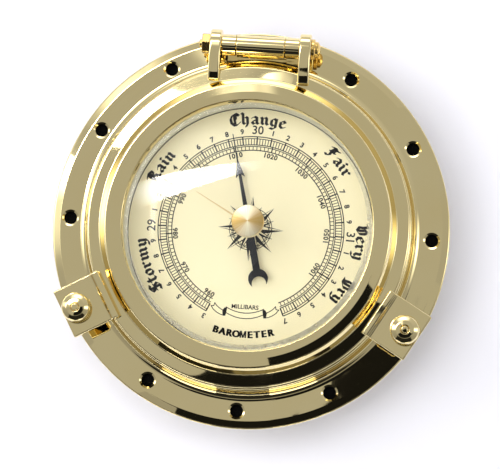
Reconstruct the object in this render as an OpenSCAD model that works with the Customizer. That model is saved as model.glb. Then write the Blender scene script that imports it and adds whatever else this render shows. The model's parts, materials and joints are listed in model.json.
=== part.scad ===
// Porthole barometer: a round flange with a stepped collar, a hinged glazed lid held by two
// thumb-screw dogs, a set hand on the lid, and an aneroid movement in a drawn rear case.
// Pieces are drawn face up: x right, y towards the hinge, z out of the dial, zero at the
// back of the flange. face_on() then stands them up, with the dial facing -Y and +Z up.

/* [Flange and collar] */
// Outer radius of the wall flange
flange_r = 76; // [76:0.5:82]
// Thickness of the wall flange
flange_t = 3; // [3:0.5:5]
// Radius of the collar at its foot
collar_foot_r = 64; // [63:0.25:64.5]
// Radius of the collar under the lid
collar_top_r = 61; // [60.5:0.25:62]
// Height of the collar above the flange
collar_h = 8.5; // [8:0.5:9.5]
// Radius of the well that holds the dial
well_r = 52.4; // [52.4:0.1:53]
// Radius of the circle of screw holes
hole_circle_r = 69.2; // [69:0.1:70]
// Radius of a screw hole
hole_r = 2.5; // [2:0.25:2.75]

/* [Lid] */
// Outer radius of the lid plate
lid_r = 60.9; // [60:0.1:61]
// Thickness of the lid plate
lid_t = 3; // [2.5:0.5:3.5]
// Gap between the collar and the closed lid
lid_gap = 0.3; // [0.3:0.1:0.5]
// Radius of the bezel at its foot
bezel_foot_r = 56; // [55:0.5:56.5]
// Radius of the bezel at its top
bezel_top_r = 53.4; // [52.5:0.1:54]
// Height of the bezel above the lid plate
bezel_h = 4.3; // [3.5:0.1:4.5]
// Radius of the sight opening
sight_r = 47; // [46.5:0.1:47.4]
// Radius of the glass at its edge
glass_r = 49.8; // [49.5:0.1:49.9]
// Thickness of the glass
glass_t = 2; // [1.5:0.25:2.5]
// Height of the glass dome
glass_rise = 6; // [4:0.5:7]

/* [Hinge] */
// Distance of the hinge axis above the dial centre
hinge_y = 68.8; // [68.5:0.1:69.5]
// Height of the hinge axis above the flange
hinge_h = 10; // [9.8:0.1:10.5]
// Radius of the hinge barrel
barrel_r = 4; // [3.5:0.25:4.5]
// Radius of the hinge pin
hinge_pin_r = 1.5; // [1.25:0.25:2]
// Half length of the fixed part of the barrel
knuckle_x = 14.5; // [14:0.5:15]
// Half length of the loose middle sleeve
sleeve_x = 9.2; // [8:0.1:9.2]
// Thickness of a hinge arm
arm_t = 4.4; // [4:0.2:5]
// Radius of the eye of a hinge arm
eye_r = 5.7; // [5:0.1:6]

/* [Dogs] */
// Angle of the right dog below the horizontal
dog_drop = 30; // [28:1:32]
// Radius at which the thumb screws stand
dog_r = 70.8; // [70:0.1:71.4]
// Width of a dog's ear
ear_w = 19.2; // [17:0.2:20]
// Radius of the inner end of an ear
ear_in_r = 58; // [57.5:0.5:58.5]
// Radius of the outer end of an ear
ear_out_r = 76.5; // [76:0.5:78]
// Thickness of an ear
ear_t = 3; // [2.5:0.5:3.5]
// Radius of a thumb knob
thumb_r = 5.5; // [5:0.5:6]
// Height of a thumb knob
thumb_h = 5.9; // [5:0.1:7]
// Radius of the screw shank
shank_r = 2; // [1.75:0.05:2]
// Depth to which the shank enters its post
shank_grip = 4; // [3:0.5:4.5]

/* [Dial and hands] */
// Thickness of the dial plate
dial_t = 0.8; // [0.6:0.1:1]
// Inner radius of the dial ring at the dial
dial_ring_r = 47; // [46.5:0.1:47.4]
// Rest angle of the pressure pointer
pointer_angle = 104; // [90:1:120]
// Length of the pointer from its arbor to its tip
pointer_len = 37; // [34:0.5:40]
// Distance from the arbor to the centre of the crescent
tail_len = 19.4; // [17:0.2:20]
// Rest angle of the set hand
set_angle = 151; // [120:1:160]
// How far right of the dial's centre the set hand goes through the glass, mm
set_hand_x = 1; // [-2:0.1:2]
// How far above the dial's centre the set hand goes through the glass, mm
set_hand_y = 0.4; // [-2:0.1:2]
// Length of the set hand
set_len = 25; // [20:1:30]
// Radius of the set hand's knob
set_knob_r = 6; // [5:0.5:7]

/* [Rear case] */
// Depth of the case behind the flange
case_depth = 24; // [24:1:30]
// Wall thickness of the case
case_wall = 1.2; // [1:0.1:1.2]
// Outer radius of the case's lip
lip_r = 57; // [57:0.5:58]

/* [Movement] */
// Radius of the movement's base plate
base_plate_r = 49; // [48.5:0.5:50]
// Radius of the vacuum capsule
capsule_r = 18; // [16:0.5:18]
// Height of the capsule above the dial centre
capsule_y = 22; // [22:0.5:24]
// Gear module of sector and pinion
gear_module = 0.8; // [0.8:0.05:0.8]
// Teeth of the pinion
pinion_teeth = 10; // [10:1:10]
// Teeth that a whole sector wheel would have
sector_teeth = 80; // [80:1:80]
// Radius at which the crank pin turns
crank_r = 5; // [4:0.5:6]
// Length of the rocker arm from its shaft to the link
rocker_arm_l = 8; // [7.5:0.5:8]

/* [Hidden] */
$fn = 96;

eps = 0.01;
run = 0.06;                                 // running clearance of a shaft in its bore
gold = "gold";
brass = "goldenrod";
steel = "silver";
// Heights above the back of the flange
collar_z = flange_t + collar_h;
lid_z = collar_z + lid_gap;
plate_z = lid_z + lid_t;                    // top of the lid plate
bezel_z = plate_z + bezel_h;
seat_z = bezel_z - 2.6;                     // the glass bears up against this face
apex_z = seat_z + 0.5 + glass_rise;         // top of the glass dome
dial_z = 1.2 + dial_t;                      // face of the dial
hinge_z = flange_t + hinge_h;
ear_z = plate_z + ear_t;
arm_x = knuckle_x + 0.3 + arm_t / 2;
pocket_r = glass_r + 0.15;
dome_r = (sight_r * sight_r + glass_rise * glass_rise) / (2 * glass_rise);
dog_angles = [180 + dog_drop, -dog_drop];
open_holes = [0, 30, 60, 120, 150, 180, 240, 270, 300];
// The rear case and the plates of the movement
case_z = -case_depth;
cover_z = case_z + 1.2;
base_z0 = -20.5;
base_z1 = -19;
bridge_z0 = -8;
bridge_z1 = -6.8;
case_screw_r = 1.1;
lip_screw_r = (well_r + lip_r) / 2;
pitch_pinion = gear_module * pinion_teeth / 2;
pitch_sector = gear_module * sector_teeth / 2;
sector_y = -(pitch_pinion + pitch_sector);
gear_z0 = -14;
rocker_y = capsule_y - 3;
rocker_z = -11;
link_z = rocker_z + rocker_arm_l;
pillar_spots = [for (a = [35, 145, 215, 325]) [45.5 * cos(a), 45.5 * sin(a)]];
spacer_spots = [for (a = [30, 150, 270]) [38 * cos(a), 38 * sin(a)]];
bridge_spots = [[-16, -2], [16, -2], [0, sector_y - 7.5]];
case_screw_angles = [30, 150, 270];
base_screw_spots = [[-6, 69.6], [6, 69.6]];

module face_on() rotate([90, 0, 0]) children();

module rod(r, z0, z1) translate([0, 0, z0]) cylinder(r = r, h = z1 - z0);

module tube(r_out, r_in, z0, z1) difference() {
    rod(r_out, z0, z1);
    rod(r_in, z0 - 1, z1 + 1);
}

module at(spots) for (s = spots) translate([s[0], s[1], 0]) children();

module round_at(r, angles) for (a = angles) rotate([0, 0, a]) translate([r, 0, 0]) children();

module bar_x(r, x0, x1, y, z) translate([x0, y, z]) rotate([0, 90, 0]) cylinder(r = r, h = x1 - x0);

module block(x0, x1, y0, y1, z0, z1) translate([x0, y0, z0]) cube([x1 - x0, y1 - y0, z1 - z0]);

module slot(w, l, z0, z1) block(-l, l, -w / 2, w / 2, z0, z1);

// A countersunk screw driven from behind, its head flush with the face at z0
module flat_screw(r, z0, head_h, z1, extra = 0) {
    translate([0, 0, z0]) cylinder(r1 = r + head_h + extra, r2 = r + extra, h = head_h);
    rod(r + extra, z0 + head_h - eps, z1);
}

// ---- fixed case ----

module flange_ring() color(gold) face_on() difference() {
    rotate_extrude() polygon([[lip_r + 0.1, 0], [flange_r - 0.8, 0], [flange_r, 0.8],
        [flange_r, flange_t - 0.8], [flange_r - 0.8, flange_t], [collar_foot_r + 1.4, flange_t],
        [collar_foot_r + 0.2, flange_t + 0.6], [collar_foot_r - 0.4, flange_t + 1.8],
        [collar_top_r + 0.5, collar_z - 0.9], [collar_top_r - 0.1, collar_z],
        [well_r, collar_z], [well_r, 1.2], [lip_r + 0.1, 1.2]]);
    round_at(hole_circle_r, open_holes) rod(hole_r, -1, flange_t + 1);
    round_at(dog_r, dog_angles) rod(2.02, -1, flange_t + 1);
    round_at(lip_screw_r, case_screw_angles) rod(case_screw_r + 0.05, 1, 7.5);
    at(base_screw_spots) flat_screw(1.25, -eps, 1.5, flange_t + 1, 0.05);
}

module rear_case() color(steel) face_on() difference() {
    rotate_extrude() polygon([[well_r - case_wall, case_z], [well_r, case_z], [well_r, 0],
        [lip_r, 0], [lip_r, 1.2], [well_r - case_wall, 1.2]]);
    round_at(lip_screw_r, case_screw_angles) flat_screw(case_screw_r, -eps, 0.8, 2, 0.05);
}

module case_screws() color(steel) face_on() round_at(lip_screw_r, case_screw_angles) difference() {
    flat_screw(case_screw_r, 0, 0.8, 7);
    slot(0.4, 3, -1, 0.4);
}

module rear_cover() color(steel) face_on() difference() {
    rod(well_r - case_wall - 0.05, case_z, cover_z);
    translate([0, capsule_y, 0]) rod(3.4, case_z - 1, cover_z + 1);
    round_at(12, [210, 240, 270, 300, 330]) rod(1.2, case_z - 1, cover_z + 1);
    at(spacer_spots) rod(1.25, case_z - 1, cover_z + 1);
}

module pan_screw(r, z_head, z_tip, head_h = 1) difference() {
    union() {
        rod(r + 1, z_head - head_h, z_head);
        rod(r, z_head - eps, z_tip);
    }
    slot(0.5, 4, z_head - head_h - 1, z_head - head_h / 2);
}

module rear_cover_screws() color(steel) face_on() at(spacer_spots) pan_screw(1.2, case_z, base_z0 - 0.3);

module rear_spacers() color(brass) face_on() at(spacer_spots) difference() {
    rod(2.4, cover_z, base_z0);
    rod(1.25, cover_z - 1, base_z0 - 0.2);
}

module hinge_base() color(gold) face_on() difference() {
    union() {
        block(-knuckle_x, knuckle_x, 65.7, 73.2, flange_t, flange_t + 2.2);
        for (side = [-1, 1]) {
            translate([side * (knuckle_x + sleeve_x + 0.3) / 2, 0, 0]) {
                half = (knuckle_x - sleeve_x - 0.3) / 2;
                block(-half, half, hinge_y - 3.1, 72.4, flange_t, hinge_z);
                bar_x(barrel_r, -half, half, hinge_y, hinge_z);
            }
            // a cove between each leg and the foot
            translate([side * (sleeve_x - 1.7), 0, 0]) difference() {
                block(-2, 2.2, 66.2, 72.4, flange_t + 2, flange_t + 4.2);
                translate([-side * 2, 60, flange_t + 4.2]) rotate([-90, 0, 0]) cylinder(r = 2, h = 20);
            }
        }
    }
    bar_x(hinge_pin_r + run, -20, 20, hinge_y, hinge_z);
    bar_x(barrel_r + 0.3, -sleeve_x - 0.3, sleeve_x + 0.3, hinge_y, hinge_z);
    at(base_screw_spots) rod(1.3, flange_t - 1, flange_t + 1.6);
}

module hinge_base_screws() color(steel) face_on() at(base_screw_spots) difference() {
    flat_screw(1.25, 0, 1.5, flange_t + 1.5);
    slot(0.5, 4, -1, 0.5);
}

// Two posts riveted through the flange, drilled to take the shanks of the thumb screws
module dog_posts() color(gold) face_on() round_at(dog_r, dog_angles) difference() {
    union() {
        rod(4, flange_t, plate_z - 0.4);
        rod(2, 0, flange_t + eps);
    }
    rod(shank_r + 0.35, plate_z - 0.4 - shank_grip - 1, plate_z + 1);
}

module dial_ring() color("ivory") face_on() rotate_extrude()
    polygon([[dial_ring_r, dial_z], [well_r - 0.05, dial_z], [well_r - 0.05, collar_z - 0.2],
        [dial_ring_r + 1.5, collar_z - 0.2]]);

module dial_plate() color("ivory") face_on() tube(well_r - 0.1, 3, 1.2, dial_z);

// ---- movement ----

module movement_base_plate() color(brass) face_on() difference() {
    rod(base_plate_r, base_z0, base_z1);
    rod(1 + run, base_z0 - 1, base_z1 + 1);
    translate([0, sector_y, 0]) rod(1 + run, base_z0 - 1, base_z1 + 1);
    translate([0, capsule_y, 0]) rod(1.5 + run, base_z0 - 1, base_z1 + 1);
    at(pillar_spots) rod(1.25, base_z0 - 1, base_z1 + 1);
}

module movement_pillars() color(brass) face_on() at(pillar_spots) difference() {
    rod(2.5, base_z1, 1.2);
    rod(1.25, base_z1 - 1, base_z1 + 3.5);
}

module movement_screws() color(steel) face_on() at(pillar_spots) pan_screw(1.2, base_z0, base_z1 + 3);

module train_bridge() color(brass) face_on() difference() {
    union() {
        block(-19, 19, -6, 4, bridge_z0, bridge_z1);
        block(-5, 5, sector_y - 10.5, 0, bridge_z0, bridge_z1);
    }
    rod(1 + run, bridge_z0 - 1, bridge_z1 + 1);
    translate([0, sector_y, 0]) rod(1 + run, bridge_z0 - 1, bridge_z1 + 1);
    at(bridge_spots) rod(0.95, bridge_z0 - 1, bridge_z1 + 1);
}

module bridge_pillars() color(brass) face_on() at(bridge_spots) difference() {
    rod(1.8, base_z1, bridge_z0);
    rod(0.95, bridge_z0 - 3.5, bridge_z0 + 1);
}

module bridge_screws() color(steel) face_on() at(bridge_spots) difference() {
    union() {
        rod(1.7, bridge_z1, bridge_z1 + 1);
        rod(0.9, bridge_z0 - 3, bridge_z1 + eps);
    }
    slot(0.4, 3, bridge_z1 + 0.5, bridge_z1 + 2);
}

// Sealed self-sprung capsule with pressed rings, and a socket for its stud
module vacuum_capsule() color(steel) face_on() translate([0, capsule_y, 0]) difference() {
    rotate_extrude() polygon(concat([[0, base_z1], [capsule_r, base_z1], [capsule_r, base_z1 + 1.6],
        [capsule_r - 1.5, base_z1 + 1.9]],
        [for (i = [1 : 4]) each [[capsule_r - 1.5 - 3 * i + 1.5, base_z1 + 3.8],
            [capsule_r - 1.5 - 3 * i, base_z1 + 3]]],
        [[3.6, base_z1 + 3], [3, base_z1 + 4.5], [0, base_z1 + 4.5]]));
    rod(1.3, base_z1 + 1.5, base_z1 + 6);
}

// Flat spiral from the collet on the pointer arbor to the stud on the bridge
hair_turns = 4;
hair_in_r = 2.7;
hair_out_r = 9.3;
hair_step = 12;                             // degrees between points of the spiral
hair_w = 0.25;
function hair_point(a, side) = let (r = hair_in_r + (hair_out_r - hair_in_r)
    * a / (360 * hair_turns) + side * hair_w / 2) [r * cos(a), r * sin(a)];

module hairspring() color("steelblue") face_on() translate([0, 0, -10.5]) linear_extrude(0.5)
    polygon(concat([for (a = [0 : hair_step : 360 * hair_turns]) hair_point(a, 1)],
        [for (a = [360 * hair_turns : -hair_step : 0]) hair_point(a, -1)]));

module hairspring_stud() color(brass) face_on() translate([hair_out_r + 0.7, 0, 0])
    rod(0.6, -10.8, bridge_z0);

module rocker_brackets() color(brass) face_on() for (side = [-1, 1]) difference() {
    union() {
        translate([side * (capsule_r + 3), 0, 0])
            block(-1, 1, rocker_y - 2.5, rocker_y + 2.5, base_z1, rocker_z);
        bar_x(2.5, side * (capsule_r + 3) - 1, side * (capsule_r + 3) + 1, rocker_y, rocker_z);
    }
    bar_x(1 + run, -40, 40, rocker_y, rocker_z);
}

function inv(a) = tan(a) * 180 / PI - a;
function half_tooth(r, base_r, teeth) = let (q = max(r, base_r))
    0.42 * 180 / teeth + inv(20) - inv(acos(min(1, base_r / q)));
function flank(teeth, root_r, tip_r, side) = let (base_r = gear_module * teeth / 2 * cos(20))
    [for (i = [0 : 6]) let (r = root_r + (tip_r - root_r) * i / 6, a = half_tooth(r, base_r, teeth))
        [r * cos(a * side), r * sin(a * side)]];
function back(list) = [for (i = [len(list) - 1 : -1 : 0]) list[i]];

module teeth(count, root_r, tip_r, angles) for (a = angles) rotate([0, 0, a])
    polygon(concat(flank(count, root_r, tip_r, -1), back(flank(count, root_r, tip_r, 1))));

module sector_arbor() color(steel) face_on() translate([0, sector_y, 0])
    rod(1, base_z0 + 0.2, -4.4);

module sector_gear() color(brass) face_on() translate([0, sector_y, gear_z0 + 0.4]) {
    root_r = pitch_sector - 0.95;
    pitch = 360 / sector_teeth;
    linear_extrude(1.2) difference() {
        union() {
            teeth(sector_teeth, root_r - 0.2, pitch_sector + 0.45,
                [for (k = [-6 : 6]) 90 + pitch * k]);
            intersection() {
                difference() {
                    circle(r = root_r);
                    circle(r = root_r - 3.5);
                }
                polygon([[0, 0], [40 * cos(60), 40 * sin(60)], [0, 80],
                    [40 * cos(120), 40 * sin(120)]]);
            }
            for (a = [66, 114]) rotate([0, 0, a]) translate([2, -1.2]) square([root_r - 4, 2.4]);
            circle(r = 3.4);
        }
        circle(r = 1);
    }
}

module sector_crank() color(brass) face_on() translate([0, sector_y, 0]) {
    difference() {
        union() {
            rod(2.4, -6.4, -4.6);
            block(0, crank_r, -1.1, 1.1, -5.6, -4.6);
            translate([crank_r, 0, 0]) rod(1.3, -5.6, -4.6);
        }
        rod(1, -8, -4);
    }
    translate([crank_r, 0, 0]) rod(0.5, -5.6, link_z + 1.2);
}

module pointer_arbor() color(steel) face_on() rod(1, base_z0 + 0.2, dial_z + 5);

module pointer_pinion() color(brass) face_on() translate([0, 0, gear_z0]) linear_extrude(2)
    difference() {
        union() {
            teeth(pinion_teeth, pitch_pinion - 1, pitch_pinion + 0.6,
                [for (k = [0 : pinion_teeth - 1]) 270 + 360 / pinion_teeth * (k + 0.5)]);
            circle(r = pitch_pinion - 0.8);
        }
        circle(r = 1);
    }

module hairspring_collet() color(brass) face_on() tube(2.2, 1, -11, -9.5);

module pointer_hand() color("black") face_on() rotate([0, 0, pointer_angle])
    translate([0, 0, dial_z + 3]) difference() {
        union() {
            linear_extrude(0.5) polygon([[0, 1.1], [pointer_len * 0.55, 0.7],
                [pointer_len * 0.52, 1.9], [pointer_len * 0.72, 0.3], [pointer_len, 0.15],
                [pointer_len, -0.15], [pointer_len * 0.72, -0.3], [pointer_len * 0.52, -1.9],
                [pointer_len * 0.55, -0.7], [0, -1.1]]);
            block(-tail_len + 2.8, 0.5, -1.35, 1.35, 0, 0.5);
            rod(2.6, 0, 0.5);
            translate([-tail_len, 0, 0]) rod(3.75, 0, 0.5);
        }
        translate([-tail_len - 1.8, 0, 0]) rod(2.6, -1, 1);
        rod(1, -1, 1);
    }

module pointer_boss() color(brass) face_on() {
    tube(2, 1, dial_z + 1, dial_z + 3);
    tube(2, 1, dial_z + 3.5, dial_z + 5);
}

module connecting_link() color(steel) face_on() {
    z0 = link_z - 0.6;
    difference() {
        union() {
            block(crank_r - 0.8, crank_r + 0.8, sector_y, rocker_y + 0.8, z0, z0 + 1.2);
            translate([crank_r, sector_y, 0]) rod(1.9, z0, z0 + 1.2);
        }
        translate([crank_r, sector_y, 0]) rod(0.95, z0 - 1, z0 + 2);
    }
    bar_x(0.5, crank_r, crank_r + 3.4, rocker_y, link_z);
}

module rocker_shaft() color(steel) face_on()
    bar_x(1, -capsule_r - 4.4, capsule_r + 4.4, rocker_y, rocker_z);

module rocker_arm() color(brass) face_on() {
    x0 = crank_r + 1.4;
    x1 = crank_r + 2.6;
    difference() {
        union() {
            bar_x(2.4, x0, x1, rocker_y, rocker_z);
            block(x0, x1, rocker_y - 1, rocker_y + 1, rocker_z, link_z);
            bar_x(1.9, x0, x1, rocker_y, link_z);
        }
        bar_x(1, x0 - 1, x1 + 1, rocker_y, rocker_z);
        bar_x(0.95, x0 - 1, x1 + 1, rocker_y, link_z);
    }
}

module rocker_finger() color(brass) face_on() difference() {
    union() {
        bar_x(2, -1.5, 1.5, rocker_y, rocker_z);
        block(-1.5, 1.5, rocker_y, capsule_y + 1.2, rocker_z - 0.9, rocker_z + 0.4);
    }
    bar_x(1, -2, 2, rocker_y, rocker_z);
}

module capsule_stud() color(steel) face_on() translate([0, capsule_y, 0])
    rod(1.2, base_z1 + 3.2, rocker_z - 1.3);

module adjusting_screw() color(steel) face_on() translate([0, capsule_y, 0])
    pan_screw(1.5, -22, base_z1 - 0.3, 1.4);

// ---- lid ----

module lid_ring() color(gold) face_on() rotate_extrude()
    polygon([[pocket_r, lid_z], [lid_r - 0.6, lid_z], [lid_r, lid_z + 0.6], [lid_r, plate_z - 0.9],
        [lid_r - 0.9, plate_z], [bezel_foot_r + 0.4, plate_z], [bezel_foot_r, plate_z + 0.3],
        [bezel_top_r + 0.8, bezel_z - 0.9], [bezel_top_r, bezel_z - 0.3],
        [sight_r + 2.2, bezel_z], [sight_r + 1.6, bezel_z - 0.2], [sight_r, seat_z + 0.6],
        [sight_r, seat_z], [pocket_r, seat_z]]);

function dome_z(r) = apex_z - dome_r + sqrt(dome_r * dome_r - r * r);

module lid_glass() color("lightcyan", 0.4) face_on() difference() {
    rotate_extrude() polygon(concat(
        [for (i = [0 : 12]) let (r = (sight_r - 0.3) * i / 12) [r, dome_z(r)]],
        [[sight_r - 0.3, seat_z], [glass_r, seat_z], [glass_r, seat_z - glass_t],
            [sight_r - 0.3, seat_z - glass_t]],
        [for (i = [12 : -1 : 0]) let (r = (sight_r - 0.6) * i / 12) [r, dome_z(r) - glass_t]]));
    translate([set_hand_x, set_hand_y, 0]) rod(2.25, apex_z - 5, apex_z + 5);
}

module glass_ring() color(gold) face_on() tube(pocket_r - 0.02, sight_r + 0.4, lid_z + 0.2, seat_z - glass_t);

module hinge_arm(side) color(gold) face_on() {
    x0 = side * arm_x - arm_t / 2;
    difference() {
        union() {
            bar_x(eye_r, x0, x0 + arm_t, hinge_y, hinge_z);
            translate([x0, 0, 0]) rotate([90, 0, 90]) linear_extrude(arm_t)
                polygon([[54.7, plate_z], [54.7, plate_z + 0.8], [55.2, plate_z + 1.4],
                    [hinge_y - 1.05, hinge_z + eye_r - 0.1], [hinge_y, hinge_z],
                    [hinge_y - 4.6, hinge_z - 3.3], [62.4, lid_z], [60, lid_z]]);
        }
        bar_x(hinge_pin_r + 0.02, -30, 30, hinge_y, hinge_z);
        rod(lid_r + 0.02, lid_z - 2, plate_z);
    }
}

module hinge_arm_left() hinge_arm(-1);

module hinge_arm_right() hinge_arm(1);

module hinge_sleeve() color(gold) face_on() difference() {
    bar_x(barrel_r, -sleeve_x, sleeve_x, hinge_y, hinge_z);
    bar_x(hinge_pin_r + 0.02, -20, 20, hinge_y, hinge_z);
}

// The pin has a domed head at the right and a threaded end at the left
module hinge_pin() color(gold) face_on() translate([0, hinge_y, hinge_z]) rotate([0, 90, 0]) {
    end_x = arm_x + arm_t / 2;
    translate([0, 0, -end_x - 4.3]) cylinder(r = hinge_pin_r, h = 2 * end_x + 4.4);
    rotate_extrude() polygon([[0, end_x], [3.9, end_x], [3.9, end_x + 1.4], [3.3, end_x + 2.4],
        [2.1, end_x + 3.1], [0, end_x + 3.4]]);
}

module hinge_nut() color(brass) face_on() translate([-arm_x - arm_t / 2 - 3.2, hinge_y, hinge_z])
    rotate([0, 90, 0]) difference() {
        cylinder(r = 4.05, h = 3.2, $fn = 6);
        translate([0, 0, -1]) cylinder(r = hinge_pin_r + 0.02, h = 6);
    }

// An ear that overlaps the lid plate, wraps its edge and reaches over the flange
module dog_ear(angle) color(gold) face_on() rotate([0, 0, angle]) {
    bevel = 1.1;
    half = ear_w / 2;
    difference() {
        union() {
            intersection() {
                translate([0, half, 0]) rotate([90, 0, 0]) linear_extrude(ear_w)
                    polygon([[ear_in_r, plate_z], [ear_out_r, plate_z], [ear_out_r, ear_z - bevel],
                        [ear_out_r - bevel, ear_z], [ear_in_r + bevel, ear_z],
                        [ear_in_r, ear_z - bevel]]);
                rotate([90, 0, 90]) linear_extrude(ear_out_r + 1)
                    polygon([[-half, plate_z], [half, plate_z], [half, ear_z - bevel],
                        [half - bevel, ear_z], [-half + bevel, ear_z], [-half, ear_z - bevel]]);
            }
            block(lid_r - 3, lid_r + 3, -half + 1.5, half - 1.5, lid_z + 0.2, plate_z + eps);
        }
        rod(lid_r + 0.02, lid_z - 1, plate_z);
        translate([dog_r, 0, 0]) rod(shank_r + 0.08, plate_z - 1, ear_z + 1);
    }
}

module dog_ear_left() dog_ear(dog_angles[0]);

module dog_ear_right() dog_ear(dog_angles[1]);

module at_set_hand() translate([set_hand_x, set_hand_y, 0]) children();

module set_hand_bush() color(brass) face_on() at_set_hand() difference() {
    union() {
        rod(2.2, apex_z - glass_t - 1.4, apex_z);
        rod(3.4, apex_z - glass_t - 1.4, apex_z - glass_t - 0.15);
    }
    rod(0.9 + run, apex_z - 6, apex_z + 2);
}

// ---- set hand ----

module set_hand_knob() color(brass) face_on() translate([set_hand_x, set_hand_y, apex_z + 0.4]) difference() {
    rotate_extrude() polygon([[0, 0], [3.6, 0], [3.6, 0.8], [set_knob_r, 1.6], [set_knob_r, 4.6],
        [set_knob_r - 0.4, 5], [0, 5.4]]);
    rod(0.9, -1, 3);
}

module set_hand_spindle() color(brass) face_on() at_set_hand() rod(0.9, dial_z + 6.2, apex_z + 3.4);

module set_hand_needle() color(brass) face_on() at_set_hand() rotate([0, 0, set_angle])
    translate([0, 0, dial_z + 6.2]) difference() {
        union() {
            rod(2, 0, 1.6);
            linear_extrude(0.5) polygon([[0, 0.6], [set_len, 0.2], [set_len, -0.2], [0, -0.6]]);
        }
        rod(0.9, -1, 3);
    }

// ---- thumb screws ----

module dog_washer(angle) color(brass) face_on() round_at(dog_r, [angle])
    tube(4.4, shank_r + 0.08, ear_z, ear_z + 0.5);

module dog_knob(angle) color(gold) face_on() round_at(dog_r, [angle]) {
    rod(shank_r, plate_z - 0.4 - shank_grip, ear_z + 1);
    translate([0, 0, ear_z + 0.5]) rotate_extrude() polygon([[0, 0], [thumb_r - 0.4, 0],
        [thumb_r, 0.4], [thumb_r, thumb_h - 3.2], [thumb_r * 0.93, thumb_h - 2],
        [thumb_r * 0.72, thumb_h - 0.8], [thumb_r * 0.42, thumb_h - 0.3], [1.7, thumb_h - 0.6],
        [1.3, thumb_h - 0.6], [1.3, thumb_h], [0, thumb_h + 0.1]]);
}

module dog_washer_left() dog_washer(dog_angles[0]);

module dog_knob_left() dog_knob(dog_angles[0]);

module dog_washer_right() dog_washer(dog_angles[1]);

module dog_knob_right() dog_knob(dog_angles[1]);

flange_ring();
rear_case();
case_screws();
rear_cover();
rear_cover_screws();
rear_spacers();
hinge_base();
hinge_base_screws();
dog_posts();
dial_ring();
dial_plate();
movement_base_plate();
movement_pillars();
movement_screws();
train_bridge();
bridge_pillars();
bridge_screws();
vacuum_capsule();
hairspring();
hairspring_stud();
rocker_brackets();
sector_arbor();
sector_gear();
sector_crank();
pointer_arbor();
pointer_pinion();
hairspring_collet();
pointer_hand();
pointer_boss();
connecting_link();
rocker_shaft();
rocker_arm();
rocker_finger();
capsule_stud();
adjusting_screw();
lid_ring();
lid_glass();
glass_ring();
hinge_arm_left();
hinge_arm_right();
hinge_sleeve();
hinge_pin();
hinge_nut();
dog_ear_left();
dog_ear_right();
set_hand_bush();
set_hand_knob();
set_hand_spindle();
set_hand_needle();
dog_washer_left();
dog_knob_left();
dog_washer_right();
dog_knob_right();
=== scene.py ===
"""Looks of a porthole-style aneroid barometer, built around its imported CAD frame.

The shapes are written face up in millimetres: x right, y towards the hinge, z out of the dial
from the back of the flange. up() turns such a point into the frame's metres.
"""

import json
import math

import bmesh
import bpy
from mathutils import Matrix, Vector


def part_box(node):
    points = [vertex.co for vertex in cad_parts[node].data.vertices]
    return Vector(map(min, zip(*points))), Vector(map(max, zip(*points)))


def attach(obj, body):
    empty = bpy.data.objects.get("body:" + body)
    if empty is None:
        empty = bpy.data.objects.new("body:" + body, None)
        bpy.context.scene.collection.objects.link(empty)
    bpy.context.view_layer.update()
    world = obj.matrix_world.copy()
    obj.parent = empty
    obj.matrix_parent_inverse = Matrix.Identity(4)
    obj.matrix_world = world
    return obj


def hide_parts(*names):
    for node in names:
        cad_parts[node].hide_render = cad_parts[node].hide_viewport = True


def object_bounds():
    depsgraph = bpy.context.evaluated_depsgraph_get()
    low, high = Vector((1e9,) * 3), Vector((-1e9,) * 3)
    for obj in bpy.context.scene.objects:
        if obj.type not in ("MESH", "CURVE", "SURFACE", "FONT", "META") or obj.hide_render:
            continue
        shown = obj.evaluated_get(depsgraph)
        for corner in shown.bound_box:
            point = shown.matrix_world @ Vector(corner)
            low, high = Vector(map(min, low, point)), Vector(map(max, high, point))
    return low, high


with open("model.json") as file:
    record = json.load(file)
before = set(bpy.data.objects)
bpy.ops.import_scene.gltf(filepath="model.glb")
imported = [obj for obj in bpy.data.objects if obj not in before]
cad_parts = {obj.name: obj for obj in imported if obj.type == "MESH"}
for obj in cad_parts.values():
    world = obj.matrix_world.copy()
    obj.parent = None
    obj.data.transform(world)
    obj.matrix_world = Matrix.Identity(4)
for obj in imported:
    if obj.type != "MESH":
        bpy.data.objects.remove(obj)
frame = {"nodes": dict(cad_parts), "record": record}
size_at_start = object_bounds()

MM = 0.001
TAU = 2 * math.pi
FACE_UP = Matrix(((1, 0, 0, 0), (0, 0, -1, 0), (0, 1, 0, 0), (0, 0, 0, 1)))


def up(x, y, z):
    """A face-up point in millimetres, as a point of the frame in metres."""
    return Vector((x, -z, y)) * MM


def span(node):
    """The face-up box of a CAD node in millimetres: x, y and z, each as (low, high)."""
    low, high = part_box(node)
    return (low.x / MM, high.x / MM), (low.z / MM, high.z / MM), (-high.y / MM, -low.y / MM)


def spin(degrees):
    """A turn about the z axis."""
    return Matrix.Rotation(math.radians(degrees), 4, "Z")


def new_object(name, data):
    """A new object, linked into the scene."""
    made = bpy.data.objects.new(name, data)
    bpy.context.scene.collection.objects.link(made)
    return made


# ---------------- sizes, some read from the frame

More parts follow.
